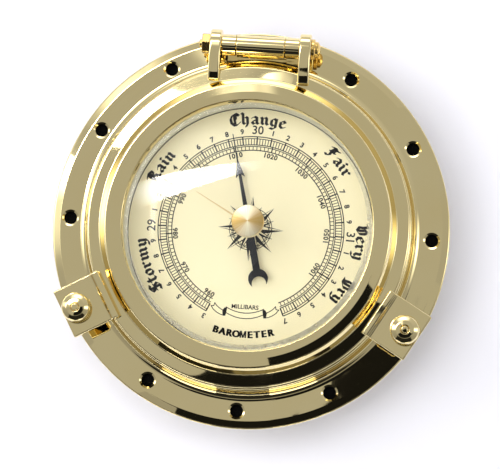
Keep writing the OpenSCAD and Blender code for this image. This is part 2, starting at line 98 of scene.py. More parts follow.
FLANGE_R = span("flange_ring")[0][1]
COLLAR_Z = span("flange_ring")[2][1]
FLANGE_T = 3.0
FLANGE_BREAK_R = 73.0               # the flange's flat front ends here
COLLAR_FOOT_R = 62.7
COLLAR_TOP_R = 61.4
CASE_T = 1.2                        # sheet of the rear case, and back of the dial
WELL_R = 52.4
LIP_R = 57.1
HOLE_CIRCLE_R = 69.2
HOLE_R = 2.5
OPEN_HOLES = (0, 30, 60, 120, 150, 180, 240, 270, 300)
LID_R = span("lid_ring")[0][1]
LID_Z, BEZEL_Z = span("lid_ring")[2]
LID_T = 3.0
PLATE_Z = LID_Z + LID_T
BEZEL_FOOT_R = 56.0
BEZEL_TOP_R = 53.6
BEZEL_CREST_R = 50.3
SIGHT_R = 47.0
POCKET_R = 49.95
GLASS_R = span("lid_glass")[0][1]
GLASS_BACK_Z, APEX_Z = span("lid_glass")[2]
GLASS_T = 2.0
SEAT_Z = GLASS_BACK_Z + GLASS_T
DOME_RISE = 6.0
DOME_R = (SIGHT_R ** 2 + DOME_RISE ** 2) / (2 * DOME_RISE)
DIAL_Z = span("dial_plate")[2][1]
DIAL_HOLE_R = 3.0
WALL_TOP_Z = COLLAR_Z - 0.2         # top of the ring round the dial
WALL_SLOPE = 1.5                    # how much wider that ring is at its top
HINGE_Y = 68.8
HINGE_Z = 13.0
PIN_R = 1.5
BARREL_R = 4.0
EYE_R = 5.7
ARM_FOOT_Y = 54.7
DOG_R = 70.8
DOG_ANGLES = {"left": 210, "right": -30}
EAR_R = (58.0, 76.5)                # inner and outer edge, from the middle of the dial
EAR_HALF = 9.6
EAR_Z = span("dog_ear_left")[2][1]
THUMB_Z = (EAR_Z + 0.54, span("dog_knob_left")[2][1])
POINTER_ANGLE = 104
SET_ANGLE = 151
SET_AT = tuple(sum(side) / 2 for side in span("set_hand_knob")[:2])
CASE_Z = span("rear_case")[2][0]

# ---------------- camera, wall and lights

LENS = 146
SENSOR = 36
CAMERA_BACK = 0.773                 # from the front of the flange along the line of sight
TILT = (-6.26, -4.28, -3.73)        # degrees about x, y and the line of sight
CAMERA_SHIFT = Vector((0.00008, -0.00199, CAMERA_BACK))


def add_camera():
    """The camera looks at the dial a little from below and from its right."""
    about_x = Matrix.Rotation(math.radians(TILT[0]), 3, "X")
    about_y = Matrix.Rotation(math.radians(TILT[1]), 3, "Y")
    about_z = Matrix.Rotation(math.radians(TILT[2]), 3, "Z")
    turn = (about_y @ about_x @ about_z).transposed()
    face_up = FACE_UP.to_3x3()
    data = bpy.data.cameras.new("camera")
    data.lens = LENS
    data.sensor_width = SENSOR
    data.clip_start = 0.01
    camera = new_object("camera", data)
    place = face_up @ (turn @ CAMERA_SHIFT) + up(0, 0, FLANGE_T)
    camera.matrix_world = Matrix.Translation(place) @ (face_up @ turn).to_4x4()
    bpy.context.scene.camera = camera


add_camera()
bpy.context.scene.view_settings.view_transform = "Standard"

# ---------------- shader maths


class Value:
    """A shader socket. Python's operators on it add Math nodes."""

    def __init__(self, shader, socket):
        self.shader = shader
        self.socket = socket

    def math(self, operation, other=None, swap=False):
        first, second = (other, self) if swap else (self, other)
        inputs = {0: first} if second is None else {0: first, 1: second}
        return self.shader.add("ShaderNodeMath", {"operation": operation}, inputs).out(0)

    def __add__(self, other):
        return self.math("ADD", other)

    def __sub__(self, other):
        return self.math("SUBTRACT", other)

    def __rsub__(self, other):
        return self.math("SUBTRACT", other, swap=True)

    def __mul__(self, other):
        return self.math("MULTIPLY", other)

    def __truediv__(self, other):
        return self.math("DIVIDE", other)

    __radd__ = __add__
    __rmul__ = __mul__

    def sine(self):
        return self.math("SINE")

    def cosine(self):
        return self.math("COSINE")


class Node:
    """One shader node; out() gives an output as a Value."""

    def __init__(self, shader, node):
        self.shader = shader
        self.node = node

    def out(self, name):
        return Value(self.shader, self.node.outputs[name])


class Shader:
    """A material, or the world, under construction."""

    def __init__(self, name, world=False):
        self.data = bpy.data.worlds.new(name) if world else bpy.data.materials.new(name)
        self.data.use_nodes = True
        self.tree = self.data.node_tree
        self.tree.nodes.clear()
        self.end = self.add("ShaderNodeOutputWorld" if world else "ShaderNodeOutputMaterial")

    def add(self, kind, settings=None, inputs=None):
        """Adds any node: its type, its settings, then the values or links of its sockets."""
        node = self.tree.nodes.new(kind)
        for name, value in (settings or {}).items():
            setattr(node, name, value)
        for name, value in (inputs or {}).items():
            if isinstance(value, Value):
                self.tree.links.new(value.socket, node.inputs[name])
            else:
                node.inputs[name].default_value = value
        return Node(self, node)

    def surface(self, shading):
        self.tree.links.new(shading.socket, self.end.node.inputs["Surface"])
        return self.data

    def principled(self, **inputs):
        named = {name.replace("_", " "): value for name, value in inputs.items()}
        return self.add("ShaderNodeBsdfPrincipled", None, named).out("BSDF")

    def place(self, scale=(1, 1, 1), location=(0, 0, 0)):
        """Where a point lies on the object, in metres, stretched and moved."""
        coordinates = self.add("ShaderNodeTexCoord").out("Object")
        return self.add("ShaderNodeMapping", None, {
            "Vector": coordinates, "Location": location, "Scale": scale}).out(0)

    def noise(self, scale, detail=3, where=None):
        return self.add("ShaderNodeTexNoise", None, {
            "Vector": where or self.place(), "Scale": scale, "Detail": detail}).out("Fac")

    def front_only(self, shading):
        """Finishes a material that is clear when seen from behind."""
        back = self.add("ShaderNodeNewGeometry").out("Backfacing")
        clear = self.add("ShaderNodeBsdfTransparent").out(0)
        return self.surface(self.add("ShaderNodeMixShader", None, {0: back, 1: shading, 2: clear}).out(0))

    def mix(self, factor, a, b):
        """A colour between a and b; the colour sockets of a Mix node are numbers 6, 7 and 2."""
        return self.add("ShaderNodeMix", {"data_type": "RGBA"}, {0: factor, 6: a, 7: b}).out(2)

    def bump(self, height, strength, distance):
        return self.add("ShaderNodeBump", None, {
            "Height": height, "Strength": strength, "Distance": distance}).out(0)


def rgb(red, green, blue):
    return (red, green, blue, 1)


# ---------------- materials

GOLD = rgb(0.93, 0.80, 0.44)
GOLD_DEEP = rgb(0.90, 0.74, 0.36)


def gold_material():
    """Polished plating: a mirror with faint clouding and fine wipe marks."""
    s = Shader("gold_plate")
    clouds = s.noise(45, 4)
    wipes = s.noise(900, 2, s.place(scale=(1, 1, 0.12)))
    ripple = s.noise(55, 1)
    return s.surface(s.principled(
        Base_Color=s.mix(clouds, GOLD, GOLD_DEEP), Metallic=1,
        Roughness=0.015 + 0.04 * clouds * wipes,
        Normal=s.bump(ripple, 0.5, 0.0004)))


def turned_material(name, colour, deep, rings, roughness):
    """Metal turned on a lathe: fine rings about the dial axis as a bump; the colour holds a painted
    highlight, a bright fan about one fixed direction with darker wedges across it, mixed with random
    streaks.
    """
    s = Shader(name)
    centre = up(*SET_AT, 0)
    where = s.add("ShaderNodeSeparateXYZ", None, {0: s.place(location=-centre)})
    radius = (where.out("X") * where.out("X") + where.out("Z") * where.out("Z")).math("SQRT")
    ring = (radius * (TAU * rings)).sine()
    turn = where.out("Z").math("ARCTAN2", where.out("X"))
    # painted highlight: the colour is brightest towards 97 and 277 degrees and darkest across them, a
    # fixed sheen laid into the colour
    painted_fan_highlight = ((turn - math.radians(97)) * 2).cosine() * 0.5 + 0.5
    spoke = s.add("ShaderNodeTexNoise", {"noise_dimensions": "1D"},
                  {"W": turn, "Scale": 9, "Detail": 3})
    painted_highlight_and_streaks = painted_fan_highlight * 0.85 + (spoke.out("Fac") - 0.5) * 0.6
    return s.surface(s.principled(
        Base_Color=s.mix(painted_highlight_and_streaks, deep, colour), Metallic=1,
        Roughness=roughness + 0.1 * painted_highlight_and_streaks, Normal=s.bump(ring, 0.03, 0.00002)))


def plain_metal(name, colour, deep, roughness, scale=400):
    """Turned or stamped metal with an even grain."""
    s = Shader(name)
    grain = s.noise(scale, 3)
    return s.surface(s.principled(
        Base_Color=s.mix(grain, colour, deep), Metallic=1,
        Roughness=roughness + 0.12 * grain, Normal=s.bump(grain, 0.08, 0.0002)))


def paper_material(name, colour, deep, roughness, coat=0.0):
    """Lacquered or printed ground with a very slight mottle."""
    s = Shader(name)
    mottle = s.noise(60, 4)
    tooth = s.noise(2500, 2)
    return s.surface(s.principled(
        Base_Color=s.mix(mottle, colour, deep), Roughness=roughness + 0.1 * tooth,
        Coat_Weight=coat, Coat_Roughness=0.15, Normal=s.bump(tooth, 0.05, 0.0001)))


def glass_material():
    """Clear glass: light goes straight through, and the surface adds its gloss."""
    s = Shader("glass")
    inside = s.add("ShaderNodeNewGeometry").out("Backfacing")
    fresnel = s.add("ShaderNodeFresnel", None, {"IOR": 1.45}).out(0) * (1 - inside)
    smear = s.noise(25, 3)
    clear = s.add("ShaderNodeBsdfTransparent", None, {"Color": rgb(0.985, 0.99, 0.98)}).out(0)
    gloss = s.principled(Base_Color=rgb(1, 1, 1), Metallic=1, Roughness=0.01 + 0.02 * smear)
    mixed = s.add("ShaderNodeMixShader", None, {0: fresnel, 1: clear, 2: gloss})
    return s.surface(mixed.out(0))


def glass_edge_material():
    """Painted reflection on the glass's rim: half clear, half bright silver, the silver standing in for
    the glare off the glass's steep edge.
    """
    s = Shader("glass_edge")
    ripple = s.noise(500, 3)
    clear = s.add("ShaderNodeBsdfTransparent").out(0)
    silver = s.principled(Base_Color=rgb(0.93, 0.92, 0.87), Metallic=1, Roughness=0.2 + 0.2 * ripple,
                          Normal=s.bump(ripple, 0.3, 0.0003))
    where = s.add("ShaderNodeSeparateXYZ", None, {0: s.place()})
    turn = where.out("Z").math("ARCTAN2", where.out("X"))
    # painted reflection: the silver covers mostly the lower right, where the glass's steep edge mirrors
    # bright light
    lower_right_glare = (turn + math.radians(65)).cosine() * 0.5 + 0.5
    painted_reflection_cover = (0.25 + 0.5 * ripple) * (0.08 + 0.92 * lower_right_glare * lower_right_glare)
    mixed = s.add("ShaderNodeMixShader", None, {0: painted_reflection_cover, 1: clear, 2: silver})
    return s.surface(mixed.out(0))


METALS = {                          # colour, deeper colour, roughness, and size of the grain
    "nut_brass": ((0.90, 0.66, 0.25), (0.80, 0.54, 0.16), 0.14),
    "movement_brass": ((0.80, 0.63, 0.32), (0.70, 0.52, 0.24), 0.25),
    "case_steel": ((0.60, 0.60, 0.59), (0.50, 0.50, 0.50), 0.28, 150),
    "screw_steel": ((0.68, 0.68, 0.68), (0.55, 0.55, 0.56), 0.2),
    "capsule_metal": ((0.72, 0.70, 0.64), (0.6, 0.58, 0.52), 0.22),
    "blued_spring": ((0.12, 0.18, 0.42), (0.08, 0.12, 0.3), 0.2),
}
PAINTS = {                          # colour, deeper colour, roughness, and clear coat
    "dial_face": ((0.95, 0.86, 0.58), (0.94, 0.84, 0.555), 0.5),
    "dial_ring": ((0.80, 0.78, 0.66), (0.76, 0.73, 0.6), 0.25, 0.4),
    "hand_black": ((0.004, 0.004, 0.007), (0.008, 0.008, 0.012), 0.6),
    "print_ink": ((0.006, 0.006, 0.009), (0.012, 0.01, 0.01), 0.7),
}
MATERIALS = {
    "gold_plate": gold_material(),
    # the two colours are the bright and the dark end of the knob's painted highlight fan
    "set_brass": turned_material("set_brass", rgb(1.0, 0.94, 0.7), rgb(0.68, 0.45, 0.15), 2600, 0.3),
}
for make, table in ((plain_metal, METALS), (paper_material, PAINTS)):
    for name, (colour, deep, *rest) in table.items():
        MATERIALS[name] = make(name, rgb(*colour), rgb(*deep), *rest)
MATERIALS["glass"] = glass_material()
MATERIALS["glass_edge"] = glass_edge_material()

for subpart in frame["record"]["subparts"]:
    node = frame["nodes"][subpart["node"]]
    node.data.materials.clear()
    node.data.materials.append(MATERIALS[subpart["material_slot"]])

# ---------------- mesh tools

ARC_STEP = math.radians(9)
SUPPORT = 0.05                      # a flat ends this far from its rounded edge
TURNS = 256                         # faces round a large ring
SHARP = math.radians(32)


def rounded(points, closed=True):
    """A profile with its corners rounded. Each point is (a, b) or (a, b, radius)."""
    count = len(points)
    done = []
    for i, point in enumerate(points):
        here = Vector(point[:2])
        radius = point[2] if len(point) > 2 else 0
        if not radius or (not closed and i in (0, count - 1)):
            done.append(here)
            continue
        before = Vector(points[i - 1][:2]) - here
        after = Vector(points[(i + 1) % count][:2]) - here
        half = before.angle(after) / 2
        reach = min(radius / math.tan(half), before.length * 0.48, after.length * 0.48)
        radius = reach * math.tan(half)
        before.normalize()
        after.normalize()
        centre = here + (before + after).normalized() * (radius / math.sin(half))
        start = here + before * reach - centre
        sweep = start.angle_signed(here + after * reach - centre)
        steps = max(2, round(abs(sweep) / ARC_STEP))
        done.append(here + before * (reach + SUPPORT))
        for step in range(steps + 1):
            turned = start.copy()
            turned.rotate(Matrix.Rotation(-sweep * step / steps, 2))
            done.append(centre + turned)
        done.append(here + after * (reach + SUPPORT))
    return done


def mark_sharp(bm, limit):
    """Smooths the edges that bend less than a limit and keeps the others sharp."""
    for edge in bm.edges:
        edge.smooth = len(edge.link_faces) == 2 and edge.calc_face_angle(0) < limit


def to_object(bm, name, material, sharp=SHARP):
    """Closes, smooths and links a bmesh that is already in the frame's metres."""
    bmesh.ops.remove_doubles(bm, verts=bm.verts, dist=1e-7)
    bmesh.ops.recalc_face_normals(bm, faces=bm.faces)
    for face in bm.faces:
        face.smooth = True
    mark_sharp(bm, sharp)
    mesh = bpy.data.meshes.new(name)
    bm.to_mesh(mesh)
    bm.free()
    mesh.materials.append(MATERIALS[material])
    return new_object(name, mesh)


def bake(piece):
    """Applies a piece's modifiers."""
    bpy.context.view_layer.update()
    solid = bpy.data.meshes.new_from_object(
        piece.evaluated_get(bpy.context.evaluated_depsgraph_get()))
    piece.modifiers.clear()
    piece.data = solid
    return piece


def spun(bm, profile, closed=True, turns=TURNS, shape=None):
    """Revolves a face-up profile of (radius, z) points. shape(angle, r, z) may change r."""
    rings = []
    for step in range(turns):
        angle = TAU * step / turns
        ring = []
        for r, z in profile:
            reach = shape(angle, r, z) if shape else r
            ring.append(bm.verts.new((reach * math.cos(angle), reach * math.sin(angle), z)))
        rings.append(ring)
    last = len(profile) if closed else len(profile) - 1
    for step in range(turns):
        here, there = rings[step], rings[(step + 1) % turns]
        for i in range(last):
            j = (i + 1) % len(profile)
            bm.faces.new((here[i], here[j], there[j], there[i]))


def prism(bm, outline, z0, z1):
    """A flat plate with the given face-up outline."""
    low = [bm.verts.new((x, y, z0)) for x, y in outline]
    high = [bm.verts.new((x, y, z1)) for x, y in outline]
    bm.faces.new(low[::-1])
    bm.faces.new(high)
    for i in range(len(outline)):
        j = (i + 1) % len(outline)
        bm.faces.new((low[i], low[j], high[j], high[i]))


def absorb(bm, part):
    """Adds one bmesh to another and frees it."""
    mesh = bpy.data.meshes.new("part")
    part.to_mesh(mesh)
    part.free()
    bm.from_mesh(mesh)


def stand(bm, before=None):
    """Turns a face-up bmesh in millimetres into the frame, after an optional first move."""
    bm.transform(Matrix.Scale(MM, 4) @ FACE_UP @ (before or Matrix()))


def lathe(name, profile, material, before=None, closed=True, turns=TURNS, shape=None, sharp=SHARP):
    bm = bmesh.new()
    spun(bm, rounded(profile, closed), closed, turns, shape)
    stand(bm, before)
    return to_object(bm, name, material, sharp)


def soften(piece, width, segments=3):
    """Rounds the sharp edges of a plate and keeps its flats flat."""
    bevel = piece.modifiers.new("edges", "BEVEL")
    bevel.width = width * MM
    bevel.segments = segments
    bevel.limit_method = "ANGLE"
    bevel.angle_limit = math.radians(28)
    bevel.harden_normals = True
    return bake(piece)


def shows(piece, body, node):
    """The piece rides on a body and stands for a CAD node."""
    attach(piece, body)
    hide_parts(node)
    return piece


def polar(radius, degrees):
    angle = math.radians(degrees)
    return radius * math.cos(angle), radius * math.sin(angle)


def along_x(x, y=HINGE_Y, z=HINGE_Z):
    """Turns a lathed piece's axis to run along x through the hinge."""
    return Matrix.Translation((x, y, z)) @ Matrix.Rotation(math.radians(90), 4, "Y")


def at_dog(side):
    return spin(DOG_ANGLES[side])


# ---------------- fixed case


def cut_holes(piece, spots, radius, depth, chamfer):
    """Drills round holes with a small chamfer at the front."""
    cutter_mesh = bmesh.new()
    for x, y in spots:
        part = bmesh.new()
        profile = [(0, -1), (radius, -1), (radius, depth - chamfer),
                   (radius + 3.5 * chamfer, depth + chamfer), (0, depth + chamfer)]
        spun(part, [Vector(p) for p in profile], False, 40)
        part.transform(Matrix.Translation((x, y, 0)))
        absorb(cutter_mesh, part)
    stand(cutter_mesh)
    cutter = to_object(cutter_mesh, "cutter", "gold_plate")
    drill = piece.modifiers.new("holes", "BOOLEAN")
    drill.operation = "DIFFERENCE"
    drill.solver = "EXACT"
    drill.object = cutter
    bake(piece)
    bpy.data.objects.remove(cutter)
    bm = bmesh.new()
    bm.from_mesh(piece.data)
    mark_sharp(bm, SHARP / 2)
    bm.to_mesh(piece.data)
    bm.free()
    return piece


def make_flange():
    """Wall flange with its collar, from the back edge round to the well."""
    profile = [(LIP_R, 0), (FLANGE_R, 0, 0.6), (FLANGE_R, FLANGE_T - 0.6, 0.7),
               (FLANGE_BREAK_R, FLANGE_T, 1.6), (COLLAR_FOOT_R, FLANGE_T, 3.4),
               (COLLAR_TOP_R, COLLAR_Z, 0.9), (WELL_R, COLLAR_Z, 0.3), (WELL_R, CASE_T),
               (LIP_R, CASE_T)]
    piece = lathe("flange", profile, "gold_plate")
    cut_holes(piece, [polar(HOLE_CIRCLE_R, a) for a in OPEN_HOLES], HOLE_R, FLANGE_T, 0.4)
    return shows(piece, "case", "flange_ring")


def make_rear_case():
    """Drawn case: a tube with a lip that sits in the back of the flange."""
    inside = WELL_R - CASE_T
    profile = [(inside, CASE_Z), (WELL_R, CASE_Z, 0.4), (WELL_R, 0.02),
               (LIP_R - 0.1, 0.02), (LIP_R - 0.1, CASE_T), (inside, CASE_T)]
    return shows(lathe("rear_shell", profile, "case_steel"), "case", "rear_case")


def make_dial_parts():
    """The printed plate and the sloping ring round it."""
    ring = [(SIGHT_R, DIAL_Z), (WELL_R - 0.05, DIAL_Z), (WELL_R - 0.05, WALL_TOP_Z),
            (SIGHT_R + WALL_SLOPE, WALL_TOP_Z, 0.4)]
    shows(lathe("dial_wall", ring, "dial_ring"), "case", "dial_ring")
    edge = WELL_R - 0.1
    disc = [(DIAL_HOLE_R, CASE_T), (edge, CASE_T), (edge, DIAL_Z), (DIAL_HOLE_R, DIAL_Z)]
    shows(lathe("dial_disc", disc, "dial_face"), "case", "dial_plate")


def make_seams():
    """Painted shade: black ink rings at the foot and the top of the dial's wall, standing in for the
    shadow in the gaps there.
    """
    foot = ((-0.25, 0), (0.05, 0), (0.05, 0.2), (-0.2, 0.15))
    top = ((1.15, -0.6), (1.6, -0.6), (1.7, 0), (1.3, 0))
    bm = bmesh.new()
    # the rings are painted shade in print ink, for the shadow in the gaps
    for corners, level in ((foot, DIAL_Z), (top, WALL_TOP_Z)):
        spun(bm, [Vector((SIGHT_R + across, level + rise)) for across, rise in corners])
    stand(bm)
    gap_shade = to_object(bm, "wall_gap_shade", "print_ink")
    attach(gap_shade, "case")


# ---------------- lid


def make_lid_ring():
    """The lid: a flat plate that rises to the bezel, with a pocket for the glass."""
    profile = [(POCKET_R, LID_Z), (LID_R, LID_Z, 0.6), (LID_R, PLATE_Z - 0.45, 0.9),
               (BEZEL_FOOT_R, PLATE_Z, 0.7), (BEZEL_TOP_R, BEZEL_Z - 0.17, 0.9),
               (BEZEL_CREST_R, BEZEL_Z, 1.2), (SIGHT_R + 0.3, BEZEL_Z, 0.45),
               (SIGHT_R, BEZEL_Z - 0.5, 0.2), (SIGHT_R, SEAT_Z), (POCKET_R, SEAT_Z)]
    return shows(lathe("lid_bezel", profile, "gold_plate"), "lid", "lid_ring")


def dome(r):
    """Height of the glass's outer face at a radius."""
    return APEX_Z - DOME_R + math.sqrt(DOME_R ** 2 - r ** 2)


def make_glass():
    steps = 24
    edge = SIGHT_R - 0.3
    hole = 2.25
    radii = [hole + (edge - hole) * i / steps for i in range(steps + 1)]
    outer = [(r, dome(r)) for r in radii]
    inner = [(r, dome(r) - GLASS_T) for r in reversed(radii)]
    rim = [(edge + 0.02, SEAT_Z - 0.02), (GLASS_R, SEAT_Z - 0.02), (GLASS_R, GLASS_BACK_Z),
           (edge + 0.02, GLASS_BACK_Z)]
    piece = lathe("domed_glass", outer + rim + inner, "glass", sharp=math.radians(20))
    return shows(piece, "lid", "lid_glass")


def make_glass_edge():
    """A ring at the glass's rim whose silvery look is a painted reflection of the glass's steep edge."""
    top = SEAT_Z + 0.1
    ring = [(SIGHT_R - 2.1, top - 0.3), (SIGHT_R - 0.35, top - 1.4), (SIGHT_R - 0.35, top - 0.1),
            (SIGHT_R - 2.1, top + 0.1)]
    piece = lathe("glass_rim_painted_reflection", ring, "glass_edge")
    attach(piece, "lid")


def make_arm(side):
    """A hinge arm: an eye on the pin, and a bar that slopes down to the lid plate."""
    (x0, x1), _, _ = span("hinge_arm_" + side)
    foot = PLATE_Z + 0.02
    eye = [(HINGE_Y + EYE_R * math.sin(a), HINGE_Z + EYE_R * math.cos(a))
           for a in [math.radians(10 * i) for i in range(24)]]
    outline = [(ARM_FOOT_Y, foot), (ARM_FOOT_Y, PLATE_Z + 1.4), (63.7, HINGE_Z + EYE_R)] + eye
    outline += [(63.2, 11.2), (61.3, 12.2), (61.3, foot)]
    bm = bmesh.new()
    prism(bm, outline, x0, x1)
    # the outline holds (y, z) and is drawn out along x
    stand(bm, Matrix(((0, 0, 1, 0), (1, 0, 0, 0), (0, 1, 0, 0), (0, 0, 0, 1))))
    piece = soften(to_object(bm, "hinge_strap_" + side, "gold_plate"), 0.7, 4)
    return shows(piece, "lid", "hinge_arm_" + side)


def make_hinge_pieces():
    """The middle barrel, the bolt through the hinge and its nut."""
    (x0, x1), _, _ = span("hinge_sleeve")
    barrel = [(PIN_R, x0), (BARREL_R, x0, 0.35), (BARREL_R, x1, 0.35), (PIN_R, x1)]
    shows(lathe("hinge_barrel", barrel, "gold_plate", along_x(0), turns=96),
          "lid", "hinge_sleeve")
    (x0, x1), _, _ = span("hinge_pin")
    head = span("hinge_arm_right")[0][1]
    pin = [(0, x0), (PIN_R, x0, 0.4), (PIN_R, head), (3.9, head, 0.25), (3.9, head + 1.3, 0.4),
           (3.1, head + 1.5, 0.2), (2.9, head + 2.6, 0.8), (1.5, x1, 0.6), (0, x1)]
    shows(lathe("hinge_bolt", pin, "nut_brass", along_x(0), closed=False, turns=96),
          "lid", "hinge_pin")
    (x0, x1), _, _ = span("hinge_nut")
    bm = bmesh.new()
    prism(bm, [polar(4.05, 60 * i) for i in range(6)], x0, x1)
    stand(bm, along_x(0))
    nut = soften(to_object(bm, "hinge_hex_nut", "nut_brass"), 0.35, 2)
    shows(nut, "lid", "hinge_nut")


def make_ear(side):
    """A dog's ear: a bevelled plate on the lid, with a raised lip along its inner edge."""
    inner, outer = EAR_R
    foot = PLATE_Z + 0.02
    outline = [(inner, foot), (outer, foot), (outer, EAR_Z), (inner + 3.1, EAR_Z - 0.9),
               (inner + 2.4, EAR_Z - 0.15), (inner, EAR_Z - 0.15)]
    bm = bmesh.new()
    prism(bm, outline, -EAR_HALF, EAR_HALF)
    # the outline holds (distance from the dial's axis, height) and is drawn out sideways
    across = Matrix(((1, 0, 0, 0), (0, 0, -1, 0), (0, 1, 0, 0), (0, 0, 0, 1)))
    stand(bm, at_dog(side) @ across)
    plate = soften(to_object(bm, "dog_plate_" + side, "gold_plate"), 0.8, 3)
    return shows(plate, "lid", "dog_ear_" + side)


def make_thumb(side):
    """A thumb knob: knurled skirt, dome, ring groove and the end of its screw."""
    z0, z1 = THUMB_Z
    knurls = 48

    def knurled(angle, r, z):
        depth = 0.28 if z0 + 0.25 < z < z1 - 3.4 and r > 5 else 0
        return r - depth * (0.5 + 0.5 * math.cos(angle * knurls))

    profile = [(0, z0 - 5), (2.0, z0 - 5), (2.0, z0), (5.1, z0, 0.15), (5.45, z0 + 0.3), (5.5, z0 + 0.7),
               (5.5, z1 - 3.6), (5.3, z1 - 3.3, 0.2), (5.45, z1 - 2.9, 0.3), (5.1, z1 - 1.6, 1.3),
               (3.4, z1 - 0.5, 1.6), (1.75, z1 - 0.2, 0.3), (1.45, z1 - 0.6, 0.1),
               (1.3, z1 - 0.6), (1.3, z1 + 0.05, 0.3), (0, z1 + 0.1)]
    move = at_dog(side) @ Matrix.Translation((DOG_R, 0, 0))
    piece = lathe("thumb_knob_" + side, profile, "gold_plate", move, closed=False,
                  turns=knurls * 6, shape=knurled)
    return shows(piece, "thumb_" + side, "dog_knob_" + side)


# ---------------- hands


def make_set_hand():
    """The knob on the glass and the thin needle under it."""
    z0, z1 = span("set_hand_knob")[2]
    knob = [(0, z0), (3.6, z0, 0.2), (3.6, z0 + 0.8, 0.2), (6.0, z0 + 1.6, 0.3),
            (6.0, z1 - 0.8, 0.25), (5.7, z1 - 0.45, 0.2), (0, z1)]
    shows(lathe("set_knob", knob, "set_brass", Matrix.Translation((*SET_AT, 0)), closed=False, turns=128),
          "set_hand", "set_hand_knob")
    z0, z1 = span("set_hand_needle")[2]
    bm = bmesh.new()
    prism(bm, [(0, 0.5), (18, 0.2), (25, 0.12), (25, -0.12), (18, -0.2), (0, -0.5)], z0, z0 + 0.3)
    spun(bm, rounded([(0, z0), (2.0, z0, 0.1), (2.0, z1, 0.2), (0, z1)], False), False, 48)
    stand(bm, Matrix.Translation((*SET_AT, 0)) @ spin(SET_ANGLE))
    shows(to_object(bm, "set_needle", "set_brass"), "set_hand", "set_hand_needle")


def make_pointer():
    """Black pointer: long needle with a barbed head, stout tail and a crescent."""
    z0, z1 = span("pointer_hand")[2]
    length, tail, horn, bite = 37.0, 19.4, 3.75, 2.75
    head = [(0, 1.0), (21.0, 0.55), (20.0, 1.75), (26.5, 0.28), (length, 0.14)]
    needle = head + [(x, -y) for x, y in reversed(head)]
    reach = 1.9
    # the bite's circle cuts the crescent's circle at these angles
    near = (reach ** 2 + horn ** 2 - bite ** 2) / (2 * reach * horn)
    half = math.acos(near)
    far = math.atan2(horn * math.sin(half), horn * near - reach)
    outside = [(horn * math.cos(a), horn * math.sin(a))
               for a in [half + (TAU - 2 * half) * i / 40 for i in range(41)]]
    inside = [(reach + bite * math.cos(a), bite * math.sin(a))
              for a in [TAU - far - (TAU - 2 * far) * i / 30 for i in range(31)]]
    crescent = [(-tail - x, -y) for x, y in outside + inside[1:-1]]
    bm = bmesh.new()
    prism(bm, needle, z0, z1)
    neck, stout = -tail + horn - 0.7, 1.35
    prism(bm, [(0, stout), (neck, stout), (neck, -stout), (0, -stout)], z0, z1 - 0.02)
    prism(bm, crescent, z0, z1)
    spun(bm, rounded([(0, z0), (2.6, z0), (2.6, z1 + 0.1, 0.1), (0, z1 + 0.1)], False), False, 48)
    stand(bm, spin(POINTER_ANGLE))
    return shows(to_object(bm, "pressure_pointer", "hand_black"), "pointer", "pointer_hand")


# ---------------- dial printing

INK_Z = (DIAL_Z + 0.01, DIAL_Z + 0.03)
PRINT_AT = (0.25, 0.3)              # the print is slightly off the dial's centre
DEG_PER_INCH = 91.5
INCHES = (28.3, 31.7)
DEG_PER_MB = 2.702
MB_AT_TOP = 1015.92
INCH_MARK = 0.02
INCH_R = (32.4, 34.8, 35.6)         # circles at the foot, at the short marks and at the tenths
MB_R = (30.3, 31.8)
TENTHS = range(round(INCHES[0] * 10), round(INCHES[1] * 10) + 1)
MILLIBARS = range(960, 1061, 10)
CAP_HEIGHT = 0.72                   # of the built-in face, as a part of its size


def inch_angle(value):
    return 90 - (value - 30) * DEG_PER_INCH


def mb_angle(value):
    return 90 - (value - MB_AT_TOP) * DEG_PER_MB


